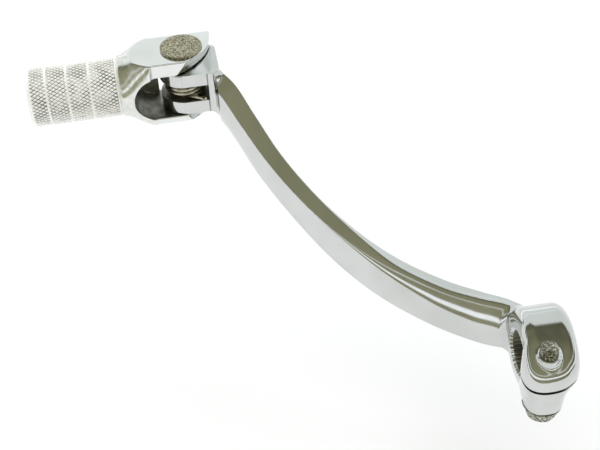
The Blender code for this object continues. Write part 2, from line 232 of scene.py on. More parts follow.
# Stations along the arm: distance along the slope, distance outward, drop below a plane through the bore's
# axis, width, thickness, the rim's width on the inner side, the crest's distance from that side, the flank's
# lean in degrees, and the radii of the rim's edge and of the crest.
ARM_STATIONS = (
    (5.2, -3.5, 6.3, 10.4, 8.0, 3.2, 5.0, 42, 2.0, 4.0),
    (6.4, -1.4, 7.2, 12.8, 9.6, 3.3, 5.4, 42, 2.0, 4.0),
    (9.6, 5.4, 8.6, 15.6, 11.6, 3.4, 5.8, 44, 2.0, 4.0),
    (13.0, 12.6, 8.8, 15.8, 11.6, 3.9, 6.2, 45, 2.0, 4.0),
    (18.7, 22.5, 8.8, 14.9, 11.2, 4.1, 6.2, 46, 1.8, 3.2),
    (27.6, 34.4, 8.8, 13.2, 10.8, 3.1, 5.8, 48, 1.4, 2.0),
    (38.5, 44.8, 8.8, 11.3, 10.2, 1.6, 5.5, 50, 0.8, 1.0),
    (51.0, 53.7, 8.8, 9.8, 9.6, 1.0, 5.6, 54, 0.4, 0.5),
    (64.5, 61.4, 8.8, 9.2, 9.6, 0.9, 5.9, 58, 0.4, 0.4),
    (77.6, 67.3, 7.8, 8.8, 10.6, 0.8, 6.4, 60, 0.4, 0.4),
    (85.5, 71.4, 6.2, 9.2, 12.2, 0.7, 6.6, 62, 0.4, 0.4),
    (90.5, 75.0, 5.6, 9.0, 11.6, 0.7, 6.4, 62, 0.4, 0.4),
)


def catmull_rom(rows, steps):
    """Read a smooth curve through rows of numbers, steps points to each span."""
    rows = np.array(rows, float)
    padded = np.vstack((rows[0], rows, rows[-1]))
    result = []
    for a, b, c, d in zip(padded, padded[1:], padded[2:], padded[3:]):
        for t in np.arange(steps) / steps:
            cubic = 2 * a - 5 * b + 4 * c - d + t * (3 * (b - c) + d - a)
            result.append(b + 0.5 * t * (c - a + t * cubic))
    result.append(rows[-1])
    return np.array(result)


ARM_LINE = catmull_rom(ARM_STATIONS, 10)
NOSE_LINE = catmull_rom(NOSE_LEVELS, 8)


# Distance fields: negative inside, positive outside.

def join(a, b, radius):
    """Union with a round fillet where the two meet."""
    inside = np.hypot(np.maximum(radius - a, 0), np.maximum(radius - b, 0))
    return np.maximum(radius, np.minimum(a, b)) - inside


def trim(a, b, radius):
    """What is inside both, with a round edge between them."""
    outside = np.hypot(np.maximum(radius + a, 0), np.maximum(radius + b, 0))
    return np.minimum(-radius, np.maximum(a, b)) + outside


def hub_field(p):
    """The barrel of the hub, rounded more at its inner end than at its collar."""
    barrel = np.hypot(p[:, 0], p[:, 2]) - HUB_R
    outer = trim(barrel, p[:, 1] - HUB_OUTER_Y, HUB_OUTER_ROUND)
    inner = trim(barrel, HUB_INNER_Y - p[:, 1], HUB_INNER_ROUND)
    return np.maximum(outer, inner)


def crown_field(p):
    """The shallow dome that leans over the hub's top and the boss."""
    x = p[:, 0] - BOLT_X
    dome = CROWN_DOME * (x ** 2 + p[:, 1] ** 2)
    return (p[:, 2] - CROWN_Z) * cos(CROWN_TILT) - x * sin(CROWN_TILT) + dome


def boss_field(p):
    """The oval boss round the pinch bolt, rounded at its crown."""
    z = p[:, 2]
    levels = np.array(BOSS_LEVELS)
    front, outer, inner = (np.interp(z, levels[:, 0], levels[:, i]) for i in (1, 2, 3))
    x = p[:, 0] - BOLT_X
    u = np.abs(x) / np.where(x < 0, front, BOSS_BACK)
    v = np.abs(p[:, 1]) / np.where(p[:, 1] > 0, outer, inner)
    wall = ((u ** BOSS_POWER + v ** BOSS_POWER) ** (1 / BOSS_POWER) - 1) * front
    boss = trim(wall, crown_field(p), CROWN_ROUND)
    return trim(boss, LUG_BOTTOM_Z - z, FINE_EDGE)


def collar_field(p):
    """The low round seat that the bolt's end comes through."""
    round_wall = np.hypot(p[:, 0] - BOLT_X, p[:, 1]) - SPOT_COLLAR_R
    return np.maximum(trim(round_wall, p[:, 2] - SPOT_FACE_Z, FINE_EDGE), COLLAR_BOTTOM_Z - p[:, 2])


def nearest_on_arm(s, y):
    """Signed distance from the arm's centre line, distance past its ends, and the station's values there."""
    best = np.full(len(s), np.inf)
    past = np.zeros(len(s))
    side = np.zeros(len(s))
    values = np.zeros((len(s), ARM_LINE.shape[1]))
    last = len(ARM_LINE) - 2
    for i in range(last + 1):
        here, there = ARM_LINE[i], ARM_LINE[i + 1]
        step = there[:2] - here[:2]
        length = np.hypot(*step)
        ds, dy = s - here[0], y - here[1]
        along = (ds * step[0] + dy * step[1]) / length
        across = (dy * step[0] - ds * step[1]) / length
        inside = np.clip(along, 0, length)
        over = along - inside
        distance = across ** 2 + over ** 2
        if i == 0:
            distance = np.where(over < 0, across ** 2, distance)
        if i == last:
            distance = np.where(over > 0, across ** 2, distance)
        closer = distance < best
        best[closer] = distance[closer]
        side[closer] = np.sign(across[closer])
        beyond = np.abs(over) if i in (0, last) else np.zeros(len(s))
        past[closer] = beyond[closer]
        values[closer] = here + (inside[closer, None] / length) * (there - here)
    return side * np.sqrt(best), past, values


def section_field(u, v, values):
    """The arm's cross-section: a flat face on top, a crest, a leaning flank and rounded undersides."""
    half, tall = values[:, 3] / 2, values[:, 4] / 2
    rim_u = values[:, 5] - half
    crest = values[:, 6] - half
    lean = np.radians(values[:, 7])
    face = (u - crest) * sin(FACE_LEAN) + (v - tall) * cos(FACE_LEAN)
    flank = (u - crest) * np.sin(lean) + (v - tall) * np.cos(lean)
    rim_v = tall + (crest - rim_u) * tan(FACE_LEAN)
    rim = (v - rim_v) * cos(RIM_LEAN) - (u - rim_u) * sin(RIM_LEAN)
    under = ((np.abs(u) - half) + (-v - tall) + half * UNDER_BEVEL) / 2 ** 0.5
    section = trim(face, flank, values[:, 9])
    section = trim(section, rim, values[:, 8])
    for plane, radius in ((-u - half, 0.8), (u - half, half * SIDE_ROUND), (-v - tall, 1.2), (under, 1.2)):
        section = trim(section, plane, radius)
    return section


def arm_field(p):
    """The forged bar."""
    u, past, values = nearest_on_arm(p @ ARM_ALONG, p[:, 1])
    v = p @ ARM_UP + values[:, 2]
    return trim(section_field(u, v, values), past, ROUND_EDGE)


def section_ring(values, sides=40, halvings=20):
    """Points round one cross-section, found by halving along rays from its middle."""
    directions = circle(1.0, sides)
    rows = np.tile(values, (sides, 1))
    low, high = np.zeros(sides), np.full(sides, values[3] + values[4])
    for _ in range(halvings):
        middle = (low + high) / 2
        inside = section_field(*(directions * middle[:, None]).T, rows) < 0
        low, high = np.where(inside, middle, low), np.where(inside, high, middle)
    return directions * low[:, None]


def fork_blank_field(p):
    """The block at the arm's tip, before it is milled."""
    q = p - FORK
    sides = trim(-SHOULDER_X - q[:, 0], q[:, 0] - EYE_R, ROUND_EDGE)
    ends = trim(BLOCK_BACK_Y - q[:, 1], q[:, 1] - BLOCK_FRONT_Y, ROUND_EDGE)
    block = trim(sides, ends, BLOCK_CORNER)
    return trim(block, np.abs(q[:, 2]) - EYE_HALF_HEIGHT, BLOCK_EDGE)


def eye_field(p):
    """The round-ended tongue that stands in the toe piece's slot."""
    q = p - FORK
    plan = np.where(q[:, 1] > 0, np.hypot(q[:, 0], q[:, 1]) - EYE_R, np.abs(q[:, 0]) - EYE_R)
    plan = np.maximum(plan, EYE_BACK_Y + 2 - q[:, 1])
    return trim(plan, np.abs(q[:, 2]) - EYE_HALF_HEIGHT, FINE_EDGE)


def lever_field(p):
    """Hub, boss, arm and fork, with the fillets of the forging."""
    hub = trim(join(hub_field(p), boss_field(p), BOSS_FILLET), crown_field(p), CROWN_EDGE)
    hub = trim(join(hub, collar_field(p), SPOT_FILLET), HUB_INNER_Y - p[:, 1], FINE_EDGE)
    arm = join(arm_field(p), fork_blank_field(p), ROUND_EDGE)
    body = join(hub, arm, ARM_FILLET)
    return np.minimum(body, eye_field(p))


def new_mesh_object(name, vertices, faces):
    """An object from lists of points and faces, in millimetres."""
    mesh = bpy.data.meshes.new(name)
    mesh.from_pydata((np.array(vertices) * MM).tolist(), [], faces)
    mesh.validate()
    item = bpy.data.objects.new(name, mesh)
    bpy.context.scene.collection.objects.link(item)
    return item


def rings_mesh(name, rings):
    """Bridge closed rings of equally many points and cap both ends."""
    count = len(rings[0])
    faces = []
    for row in range(len(rings) - 1):
        for i in range(count):
            j = (i + 1) % count
            a, b = row * count, (row + 1) * count
            faces.append((a + i, a + j, b + j, b + i))
    faces.append(tuple(range(count)))
    last = (len(rings) - 1) * count
    faces.append(tuple(last + i for i in range(count)))
    item = new_mesh_object(name, np.concatenate(rings), faces)
    orient(item)
    return item


def orient(item):
    """Point every face outward."""
    shape = bmesh.new()
    shape.from_mesh(item.data)
    bmesh.ops.recalc_face_normals(shape, faces=shape.faces)
    shape.to_mesh(item.data)
    shape.free()


def circle(radius, sides, phase=0.0):
    """Points of a circle as (u, v) rows."""
    angles = phase + 2 * pi * np.arange(sides) / sides
    return np.column_stack((radius * np.cos(angles), radius * np.sin(angles)))


def turned_y(name, profile, centre, sides=64):
    """A solid turned about a line along Y, from (y, radius) pairs."""
    rings = []
    for y, radius in profile:
        ring = circle(radius, sides)
        rings.append(centre + np.column_stack((ring[:, 0], np.full(sides, y), ring[:, 1])))
    return rings_mesh(name, rings)


def turned_z(name, profile, centre, sides=64):
    """A solid turned about a line along Z, from (z, radius) pairs."""
    rings = []
    for z, radius in profile:
        ring = circle(radius, sides)
        rings.append(centre + np.column_stack((ring[:, 0], ring[:, 1], np.full(sides, z))))
    return rings_mesh(name, rings)


def prism_z(name, outline, centre, low, high):
    """Extrude an outline of (x, y) rows along Z."""
    outline = np.array(outline)
    rings = [centre + np.column_stack((outline, np.full(len(outline), z))) for z in (low, high)]
    return rings_mesh(name, rings)


def box_mesh(name, low, high):
    """A box between two corners, for cutting with."""
    outline = ((low[0], low[1]), (high[0], low[1]), (high[0], high[1]), (low[0], high[1]))
    return prism_z(name, outline, np.zeros(3), low[2], high[2])


def bake(item):
    """Apply the modifiers of an object."""
    evaluated = item.evaluated_get(bpy.context.evaluated_depsgraph_get())
    mesh = bpy.data.meshes.new_from_object(evaluated)
    item.modifiers.clear()
    item.data = mesh


def cut(item, tool, operation="DIFFERENCE"):
    """Cut a closed tool away from a closed body."""
    modifier = item.modifiers.new("cut", "BOOLEAN")
    modifier.operation = operation
    modifier.solver = "MANIFOLD"
    modifier.object = tool
    bpy.context.view_layer.update()
    bake(item)
    bpy.data.objects.remove(tool, do_unlink=True)


def mesh_points(mesh):
    """A mesh's vertices in millimetres."""
    points = np.empty(len(mesh.vertices) * 3)
    mesh.vertices.foreach_get("co", points)
    return points.reshape(-1, 3) / MM


def set_points(mesh, points):
    """Move a mesh's vertices to points in millimetres."""
    mesh.vertices.foreach_set("co", (points * MM).ravel())
    mesh.update()


def relaxed(mesh, points):
    """Each point moved halfway to the middle of its neighbours."""
    edges = np.empty(len(mesh.edges) * 2, np.int64)
    mesh.edges.foreach_get("vertices", edges)
    a, b = edges.reshape(-1, 2).T
    total = np.zeros_like(points)
    np.add.at(total, a, points[b])
    np.add.at(total, b, points[a])
    count = np.bincount(edges, minlength=len(points))
    return (points + total / count[:, None]) / 2


def fit_to_field(mesh, field, rounds=3):
    """Move each vertex down the distance field's slope to where it is zero, and even out the mesh between."""
    points = mesh_points(mesh)
    probe, flattest, furthest = 0.02, 0.25, 0.7
    for turn in range(rounds):
        if turn:
            points = relaxed(mesh, points)
        for _ in range(2):
            value = field(points)
            slope = np.column_stack([(field(points + probe * axis) - value) / probe for axis in np.eye(3)])
            size = np.maximum((slope ** 2).sum(1), flattest)
            points = points - slope * np.clip(value / size, -furthest, furthest)[:, None]
    set_points(mesh, points)


def remeshed(name, parts, voxel):
    """Merge overlapping closed parts into one evenly meshed skin."""
    shape = bmesh.new()
    for part in parts:
        shape.from_mesh(part.data)
        bpy.data.objects.remove(part, do_unlink=True)
    mesh = bpy.data.meshes.new(name)
    shape.to_mesh(mesh)
    shape.free()
    item = bpy.data.objects.new(name, mesh)
    bpy.context.scene.collection.objects.link(item)
    modifier = item.modifiers.new("skin", "REMESH")
    modifier.mode = "VOXEL"
    modifier.voxel_size = voxel * MM
    bpy.context.view_layer.update()
    bake(item)
    return item


def arm_rings():
    """Rings along the arm's centre line, for its first rough body."""
    rings = []
    for i in range(0, len(ARM_LINE), 2):
        before = ARM_LINE[max(i - 1, 0)]
        after = ARM_LINE[min(i + 1, len(ARM_LINE) - 1)]
        tangent = ARM_ALONG * (after[0] - before[0]) + ARM_OUTWARD * (after[1] - before[1])
        side = np.cross(ARM_UP, tangent / np.linalg.norm(tangent))
        centre = ARM_ALONG * ARM_LINE[i, 0] + ARM_OUTWARD * ARM_LINE[i, 1] - ARM_UP * ARM_LINE[i, 2]
        ring = section_ring(ARM_LINE[i])
        rings.append(centre + np.outer(ring[:, 0], side) + np.outer(ring[:, 1], ARM_UP))
    return rings


def rough_lever():
    """Simple closed bodies under the lever's skin."""
    origin = np.zeros(3)
    barrel_r = HUB_R - 0.4
    hub = turned_y("hub", ((HUB_INNER_Y + 0.3, 7.8), (HUB_INNER_Y + 4, barrel_r), (1.2, barrel_r),
                           (HUB_OUTER_Y - 0.2, 9.0)), origin)
    bolt_axis = np.array((BOLT_X, 0, 0))
    levels = [(z, (front + outer + inner) / 3) for z, front, outer, inner in BOSS_LEVELS]
    levels[-1] = (SPOT_FACE_Z - 0.1, 3.2)
    levels.insert(-1, (SPOT_FACE_Z - 2.5, 5.2))
    boss = turned_z("boss", levels, bolt_axis)
    arm = rings_mesh("arm", arm_rings())
    block = box_mesh("block", FORK + (-SHOULDER_X, EYE_BACK_Y - 0.5, -EYE_HALF_HEIGHT),
                     FORK + (EYE_R, 0.5, EYE_HALF_HEIGHT))
    eye = turned_z("eye", ((-EYE_HALF_HEIGHT, EYE_R), (EYE_HALF_HEIGHT, EYE_R)), FORK)
    return hub, boss, arm, block, eye


def bore_cutter():
    """The serrated bore, with a chamfer at each end of the teeth."""
    sides = TOOTH_COUNT * 4
    teeth = BORE_R + TOOTH_DEPTH * np.tile((0.0, 0.35, 1.0, 0.35), TOOTH_COUNT)
    mouths = ((HUB_INNER_Y - 1, BORE_R + 1.9), (HUB_INNER_Y + 0.9, BORE_R), (HUB_OUTER_Y - 0.7, BORE_R),
              (HUB_OUTER_Y + 1.0, BORE_R + 1.7))
    rings = []
    for y, mouth in mouths:
        ring = circle(1.0, sides) * np.maximum(teeth, mouth)[:, None]
        rings.append(np.column_stack((ring[:, 0], np.full(sides, y), ring[:, 1])))
    return rings_mesh("bore_cutter", rings)


def hub_cutters():
    """What is machined out of the hub."""
    bolt_axis = np.array((BOLT_X, 0, 0))
    hole_r = BOLT_R + 0.08
    seat_r = FLANGE_R + 0.5
    mouth_r = BORE_R + 1.0
    return (
        turned_z("seat", ((-22, seat_r), (LUG_BOTTOM_Z, seat_r)), bolt_axis),
        turned_z("spot", ((SPOT_FACE_Z - 0.1, SPOT_FACE_R), (SPOT_FACE_Z + 0.4, SPOT_FACE_R),
                          (SPOT_FACE_Z + 5, SPOT_FACE_R + 1.5)), bolt_axis, 96),
        turned_z("bolt_hole", ((-20, hole_r), (20, hole_r)), bolt_axis),
        bore_cutter(),
        turned_y("mouth", ((HUB_OUTER_Y, mouth_r), (22, mouth_r)), np.zeros(3)),
        box_mesh("slit", (-20, -16, SLIT_TOP_Z - SLIT_WIDTH), (-4, 16, SLIT_TOP_Z)),
    )


def fork_cutters():
    """The spring's window, the pin's hole and the milled front."""
    reach = 12
    window_low = FORK + (-reach, WINDOW_BACK_Y, -WINDOW_HALF_HEIGHT)
    window_high = FORK + (reach, reach, WINDOW_HALF_HEIGHT)
    return (
        box_mesh("window", window_low, window_high),
        turned_z("pin_hole", ((-reach, PIN_HOLE_R), (reach, PIN_HOLE_R)), PIVOT),
        milled_front(),
    )


def milled_front():
    """What the end mill takes off the fork's front, with the mill's radius against the shoulder."""
    outline = [(-20, 20), (-20, MILL_END_Y)]
    for i in range(13):
        angle = pi / 2 * i / 12
        outline.append((-EYE_R - MILL_R + MILL_R * sin(angle), MILL_END_Y + MILL_R - MILL_R * cos(angle)))
    outline.append((-EYE_R, 20))
    return prism_z("milled_front", outline, PIVOT, -30, 30)


def lever_shaded_inside(p):
    """Where the lever's unpolished inside faces are, which get painted shade: the bore, the slit and the
    spring's window.
    """
    bore_r = BORE_R + TOOTH_DEPTH + 0.15
    bore = (np.hypot(p[:, 0], p[:, 2]) < bore_r) & (p[:, 1] < HUB_OUTER_Y - BRIGHT_DEPTH)
    slit = (p[:, 0] < 0) & (np.abs(p[:, 2] - SLIT_TOP_Z + SLIT_WIDTH / 2) < SLIT_WIDTH / 2 + TOUCH)
    q = p - FORK
    window = (np.abs(q[:, 2]) < WINDOW_HALF_HEIGHT + TOUCH) & (q[:, 1] > WINDOW_BACK_Y - TOUCH)
    return bore | slit | window


def make_lever():
    """The forged and polished arm."""
    lever = remeshed("arm_body", rough_lever(), LEVER_VOXEL)
    fit_to_field(lever.data, lever_field)
    for cutter in (*hub_cutters(), *fork_cutters()):
        cut(lever, cutter)
    finish(lever, polished_aluminium(), "lever", "polished_aluminium", "lever_arm")
    # The inside faces get a dull finish darkened with painted shade.
    recolour(lever, broached_and_shaded_aluminium(), lever_shaded_inside)
    return lever


# Toe piece.

def ear_edge():
    """Points along the ears' curved end, and the slope there."""
    t = np.linspace(0, 1, 41)[:, None]
    start, bend, end = (np.array(point) for point in (EAR_START, EAR_BEND, EAR_END))
    points = start * (1 - t) ** 2 + bend * 2 * t * (1 - t) + end * t ** 2
    run = (bend - start) * (1 - t) + (end - bend) * t
    return points, run[:, 1] / run[:, 0]


def nose_values(y):
    """The nose's half width, half height and squareness at a distance from the pivot."""
    return [np.interp(y, NOSE_LINE[:, 0], NOSE_LINE[:, i]) for i in (1, 2, 3)]


def slot_field(p):
    """The slot's inside: open at both sides along the fork, then round-ended and closed at the far side."""
    x, y, z = (p - FORK).T
    slot = np.where(y < SLOT_ROUND_Y, np.abs(z), np.hypot(y - SLOT_ROUND_Y, z)) - SLOT_HALF_HEIGHT
    return np.maximum(slot, np.minimum(x - SLOT_FLOOR_X, y - SLOT_THROUGH_Y))


def toe_field(p):
    """The head of the toe piece: a nose that is milled flat, ears, a round-ended slot and the pin's hole."""
    x, y, z = (p - PIVOT).T
    half_x, half_z, power = nose_values(y)
    nose = (((np.abs(x) / half_x) ** power + (np.abs(z) / half_z) ** power) ** (1 / power) - 1) * half_x
    body = trim(nose, y - NECK_Y, NECK_EDGE)
    body = trim(body, np.abs(z) - HEAD_HALF_HEIGHT, FACE_EDGE)
    milled = trim(HEAD_HALF_WIDTH - np.abs(x), y - HEAD_END_Y, ROUND_EDGE)
    body = trim(body, -milled, FINE_EDGE)
    points, slope = ear_edge()
    undercut = (HEAD_HALF_HEIGHT - np.abs(z)) * EAR_UNDERCUT * (0.5 - x / (2 * HEAD_HALF_WIDTH))
    edge = np.interp(x, points[:, 0], points[:, 1]) + undercut
    lean = np.interp(x, points[:, 0], slope)
    body = trim(body, (edge - y) / np.hypot(1, lean), FINE_EDGE)
    body = trim(body, -slot_field(p), SLOT_EDGE)
    return trim(body, PIN_HOLE_R - np.hypot(x, y), HOLE_EDGE)


def rough_toe():
    """A simple closed body under the head's skin."""
    points, _ = ear_edge()
    outline = [(HEAD_HALF_WIDTH, HEAD_END_Y + 0.5), (-HEAD_HALF_WIDTH, HEAD_END_Y + 0.5), *points]
    head = prism_z("head", outline, PIVOT, -HEAD_HALF_HEIGHT, HEAD_HALF_HEIGHT)
    rings = []
    for y in (HEAD_END_Y + 0.1, 11.4, 13.0, 14.4, 16.2, NECK_Y):
        half_x, half_z, power = (float(v) for v in nose_values(y))
        oval = circle(1.0, 64)
        oval *= ((np.abs(oval) ** power).sum(1) ** (-1 / power))[:, None]
        height = np.clip(oval[:, 1] * half_z, -HEAD_HALF_HEIGHT, HEAD_HALF_HEIGHT)
        rings.append(PIVOT + np.column_stack((oval[:, 0] * half_x, np.full(64, y), height)))
    cut(head, rings_mesh("nose", rings), "UNION")
    for cutter in slot_cutters():
        cut(head, cutter)
    cut(head, turned_z("hole", ((-20, PIN_HOLE_R), (20, PIN_HOLE_R)), PIVOT))
    return head


def slot_cutters():
    """The slot's inside: a blind round-ended part and a part that goes right through."""
    reach = 14
    angles = np.linspace(-pi / 2, pi / 2, 33)
    outline = [(-reach, SLOT_HALF_HEIGHT), (-reach, -SLOT_HALF_HEIGHT)]
    outline += [(SLOT_ROUND_Y + SLOT_HALF_HEIGHT * cos(a), SLOT_HALF_HEIGHT * sin(a)) for a in angles]
    outline = np.array(outline)
    rings = [FORK + np.column_stack((np.full(len(outline), x), outline)) for x in (-reach, SLOT_FLOOR_X)]
    through = box_mesh("through", FORK + (-reach, -reach, -SLOT_HALF_HEIGHT),
                       FORK + (reach, SLOT_THROUGH_Y, SLOT_HALF_HEIGHT))
    return rings_mesh("slot", rings), through


def on_nose(p):
    """Where the head's turned nose is."""
    q = p - PIVOT
    return (q[:, 1] > NOSE_START_Y) & (np.abs(q[:, 2]) < HEAD_HALF_HEIGHT - 0.2)


def in_shaded_slot(p):
    """Where the slot's inside faces are, which get painted shade."""
    return slot_field(p) < 0.12


def make_toe_head():
    """The head of the toe piece."""
    head = remeshed("toe_head", [rough_toe()], HEAD_VOXEL)
    fit_to_field(head.data, toe_field)
    finish(head, turned_aluminium(), "tip", "bright_aluminium", "toe_piece")
    recolour(head, satin_aluminium(), on_nose)
    # The slot's inside gets a dull finish darkened with painted shade.
    recolour(head, broached_and_shaded_aluminium(), in_shaded_slot)
    return head


def peg_radius(y):
    """The peg's radius before it is knurled, and how much of the knurl's depth there is."""
    floor_r = PEG_R - GROOVE_DEPTH
    radius = np.full(len(y), PEG_R)
    depth = np.ones(len(y))
    for groove in GROOVE_YS:
        near = np.abs(y - groove)
        radius = np.minimum(radius, floor_r + np.maximum(near - GROOVE_WIDTH / 4, 0) * GROOVE_SLOPE)
        depth = np.minimum(depth, np.clip((near - GROOVE_WIDTH / 2) / GROOVE_FADE, 0, 1))
    radius = np.minimum(radius, floor_r + np.maximum(y - PEG_START_Y + 0.2, 0) * GROOVE_SLOPE)
    depth = np.minimum(depth, np.clip((y - PEG_START_Y) / START_FADE, 0, 1))
    radius = np.minimum(radius, PEG_R - np.maximum(y - PEG_END_Y + PEG_CHAMFER, 0))
    depth = np.minimum(depth, np.clip((PEG_END_Y - PEG_CHAMFER - y) / END_FADE + 1, 0, 1))
    return radius, depth


def saw(value):
    """0 at whole numbers and 1 halfway between them."""
    return 1 - np.abs(2 * (value % 1) - 1)


def knurl_faces(sides, rows):
    """Triangles of the peg's grid, each pair split along the groove that crosses it, and its two ends."""
    faces = []
    for row in range(rows - 1):
        for k in range(sides):
            n = (k + 1) % sides
            a, b = row * sides + k, row * sides + n
            c, d = b + sides, a + sides
            if (k + row + 1) % (KNURL_STEPS // 2) == 0:
                faces += [(a, b, d), (b, c, d)]
            else:
                faces += [(a, b, c), (a, c, d)]
    last = (rows - 1) * sides
    faces.append(tuple(range(sides)))
    faces.append(tuple(range(last, last + sides)))
    return faces


def make_peg():
    """The knurled peg: raised diamonds on four bands, on a grid whose diagonals follow the grooves."""
    sides = KNURL_STARTS * KNURL_STEPS
    step = KNURL_PITCH / KNURL_STEPS
    rows = int(ceil((PEG_END_Y - NECK_Y + 0.6) / step))
    ys = PEG_END_Y - step * np.arange(rows)[::-1]
    i, j = np.meshgrid(np.arange(sides), np.arange(rows))
    right, left = (i + j) / KNURL_STEPS, (i - j) / KNURL_STEPS
    height = np.clip(np.minimum(saw(right), saw(left)) / KNURL_FLAT, 0, 1)
    radius, depth = peg_radius(ys)
    r = radius[:, None] - KNURL_DEPTH * depth[:, None] * (1 - height)
    angle = 2 * pi * i / sides
    grid = np.stack((r * np.cos(angle), np.broadcast_to(ys[:, None], r.shape), r * np.sin(angle)), axis=2)
    peg = new_mesh_object("knurled_peg", PIVOT + grid.reshape(-1, 3), knurl_faces(sides, rows))
    # Painted shade: this attribute is 1 deep in the knurl's valleys and 0 on the diamonds, and darkens the
    # colour there.
    knurl_shade = peg.data.attributes.new("knurl_shade", "FLOAT", "POINT")
    knurl_shade.data.foreach_set("value", (depth[:, None] * (1 - height)).ravel())
    orient(peg)
    finish(peg, knurled_aluminium(), "tip", "bright_aluminium", "toe_piece")
    return peg


def make_pin():
    """The rivet that the toe piece folds on."""
    seat = HEAD_HALF_HEIGHT + 0.02
    peened = ((-0.7, 0.01), (-0.7, 2.0), (-0.55, 3.4), (-0.35, 4.5), (0, 5.0), (0, PIN_R))
    head = ((0, PIN_R), (0, PIN_HEAD_R - 0.05), (0.12, PIN_HEAD_R), (0.45, PIN_HEAD_R),
            (0.6, PIN_HEAD_R - 0.2), (0.66, PIN_HEAD_R - 0.6))
    crown = [(0.66 + 0.06 * (1 - (r / 5.4) ** 2), r) for r in (4.6, 3.8, 3.0, 2.2, 1.4, 0.7, 0.01)]
    profile = [(z - seat, r) for z, r in peened] + [(z + seat, r) for z, r in (*head, *crown)]
    pin = turned_z("pivot_rivet", profile, PIVOT, 96)
    finish(pin, rivet_steel(), "tip", "rivet_steel", "pivot_pin")
    return pin


def spring_path(half):
    """Points along the spring's wire, from the fork's leg round the coils to the toe piece's leg."""
    steps = int(SPRING_TURNS * 40)
    points = [(-SPRING_R - 2.4, -5.0, -half + 0.2), (-SPRING_R - 1.6, -4.4, -half + 0.1),
              (-SPRING_R - 0.5, -2.6, -half)]
    for i in range(steps + 1):
        angle = pi + 2 * pi * SPRING_TURNS * i / steps
        points.append((SPRING_R * cos(angle), SPRING_R * sin(angle), -half + 2 * half * i / steps))
    return points + [(SPRING_R, y, half) for y in (1.0, 6.0, 11.0, 15.0)]


def make_spring():
    """The torsion spring round the pin: close coils, one leg on the fork and one in the toe piece."""
    half = SPRING_PITCH * SPRING_TURNS / 2
    points = spring_path(half)
    curve = bpy.data.curves.new("spring", "CURVE")
    curve.dimensions = "3D"
    curve.bevel_depth = WIRE_R * MM
    curve.bevel_resolution = 4
    curve.use_fill_caps = True
    spline = curve.splines.new("POLY")
    spline.points.add(len(points) - 1)
    for point, place in zip(spline.points, points):
        point.co = (*((FORK + place) * MM), 1)
    guide = bpy.data.objects.new("spring_guide", curve)
    bpy.context.scene.collection.objects.link(guide)
    bpy.context.view_layer.update()
    evaluated = guide.evaluated_get(bpy.context.evaluated_depsgraph_get())
    mesh = bpy.data.meshes.new_from_object(evaluated)
    bpy.data.objects.remove(guide, do_unlink=True)
    spring = bpy.data.objects.new("torsion_spring", mesh)
    bpy.context.scene.collection.objects.link(spring)
    spring.data.materials.clear()
    spring.data.materials.append(spring_steel())
    spring.data.shade_smooth()
    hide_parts("return_spring")
    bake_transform(spring)
    return spring


def hexagon(across_flats, corner_r, sides=96):
    """Points of a hexagon whose corners are turned down to corner_r."""
    angles = 2 * pi * np.arange(sides) / sides
    from_flat = angles % (pi / 3) - pi / 6
    radius = np.minimum(across_flats / 2 / np.cos(from_flat), corner_r)
    return np.column_stack((radius * np.cos(angles), radius * np.sin(angles)))


def make_bolt():
    """The pinch bolt: a hexagon head with a flange, a plain shank and a thread that ends over the boss."""
    axis = np.array((BOLT_X, 0, 0))
    sides = 96
    low = BOLT_LOW[2]
    seat = LUG_BOTTOM_Z
    rings = []
    head = ((low, 6.2, 3.1), (low + 0.15, 7.0, 3.6), (low + 0.5, 8.0, 4.1), (low + 1.0, 8.0, 4.45),
            (seat - 1.5, 8.0, 4.5), (seat - 1.2, 8.2, 4.8))
    for z, across, corner in head:
        rings.append(np.column_stack((hexagon(across, corner), np.full(sides, z))))
    for z, radius in ((seat - 0.9, 5.2), (seat - 0.55, FLANGE_R), (seat - 0.2, FLANGE_R), (seat - 0.05, 5.2),
                      (seat - 0.05, BOLT_R)):
        rings.append(np.column_stack((circle(radius, sides), np.full(sides, z))))
    top = BOLT_HIGH[2]
    angles = 2 * pi * np.arange(sides) / sides
    for z in np.arange(THREAD_START_Z, top + 0.01, THREAD_PITCH / 10):
        groove = saw(z / THREAD_PITCH - angles / (2 * pi))
        fade = np.clip(z - THREAD_START_Z, 0, 1)
        radius = BOLT_R - THREAD_DEPTH * fade * (1 - np.clip(groove * 1.3, 0, 1))
        radius = np.minimum(radius, BOLT_R - END_CHAMFER + top - z)
        rings.append(np.column_stack((radius * np.cos(angles), radius * np.sin(angles), np.full(sides, z))))
    bolt = rings_mesh("flange_bolt", [axis + ring for ring in rings])
    finish(bolt, bolt_steel(), "lever", "bolt_steel", "pinch_bolt")
    return bolt


def finish(item, material, body, slot, *nodes):
    """Give a piece its material and its place in the frame."""
    item.data.materials.clear()
    item.data.materials.append(material)
    item.data.shade_smooth()
    item.data.set_sharp_from_angle(angle=SHARP_ANGLE)
    if nodes:
        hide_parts(*nodes)
    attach(item, body)


def new_material(name, metallic):
    """A metal's material, and its node tree."""
    material = bpy.data.materials.new(name)
    material.use_nodes = True
    material.node_tree.nodes["Principled BSDF"].inputs["Metallic"].default_value = metallic
    return material, material.node_tree


def pattern(tree, scale, detail=3.0, stretch=(1, 1, 1)):
    """Noise that is fixed to the piece, at scale repeats to a metre."""
    place = tree.nodes.new("ShaderNodeTexCoord")
    mapping = tree.nodes.new("ShaderNodeMapping")
    mapping.inputs["Scale"].default_value = stretch
    tree.links.new(place.outputs["Object"], mapping.inputs["Vector"])
    texture = tree.nodes.new("ShaderNodeTexNoise")
    texture.inputs["Detail"].default_value = detail
    texture.inputs["Scale"].default_value = scale
    tree.links.new(mapping.outputs["Vector"], texture.inputs["Vector"])
    return texture.outputs["Fac"]


